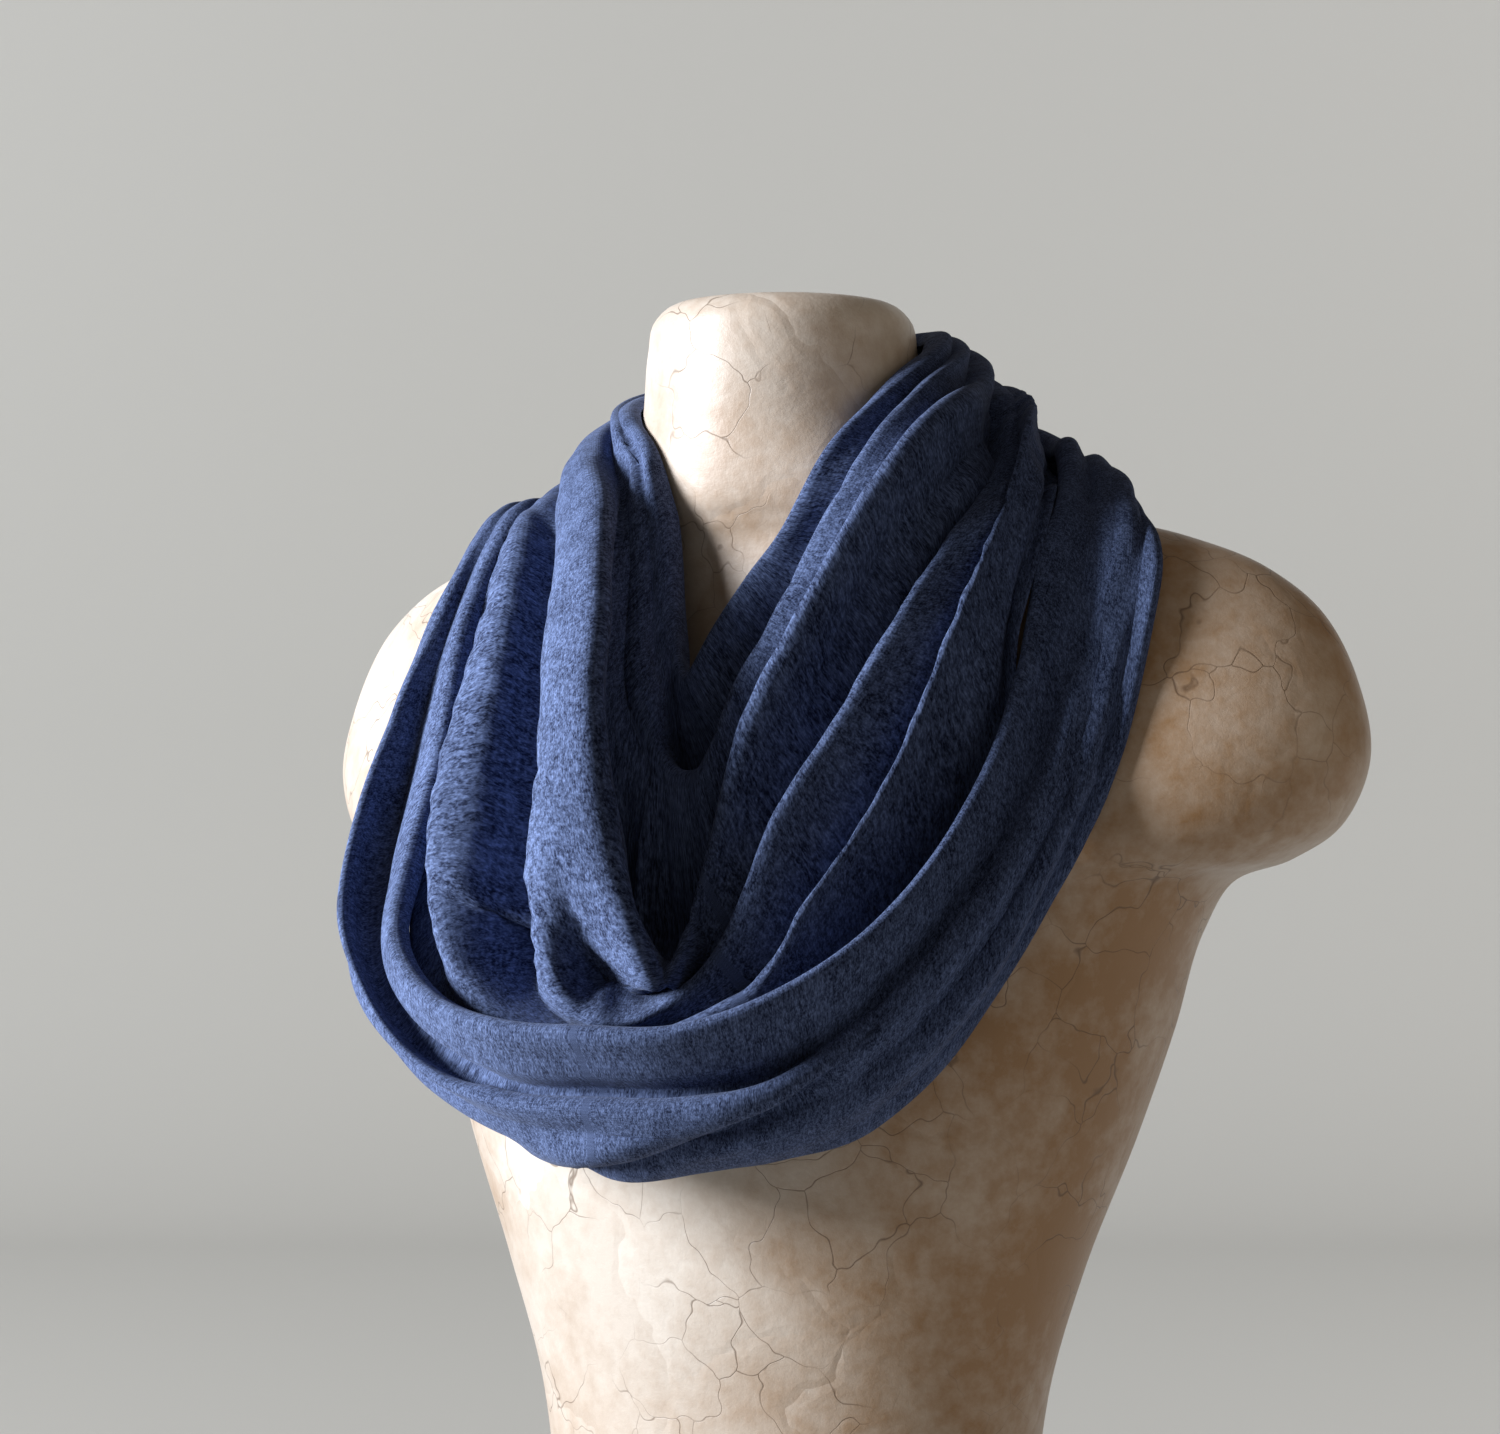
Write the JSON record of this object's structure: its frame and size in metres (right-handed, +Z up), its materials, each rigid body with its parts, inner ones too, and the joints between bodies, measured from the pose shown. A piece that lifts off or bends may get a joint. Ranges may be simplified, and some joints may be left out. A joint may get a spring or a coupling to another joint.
{
  "type": "infinity scarf worn on a dress form",
  "caption": "A wide jersey infinity scarf wound twice round the neck of a limbless papier-mache dress form, for dressing a shop window or a figure.",
  "frame": {"origin": "on the underside of the base, straight below the axis of the neck", "axes": "+Z up the form, -Y towards its front, +X towards its own left shoulder"},
  "size_m": [0.446, 0.2981, 0.65],
  "materials": {
    "varnished_paper": "aged varnish, stained and cracked",
    "jersey_upper": "heathered jersey",
    "jersey_lower": "heathered jersey"
  },
  "bodies": {
    "root": {"dress_form": "varnished_paper", "upper_wind": "jersey_upper", "lower_wind": "jersey_lower"}
  },
  "joints": []
}
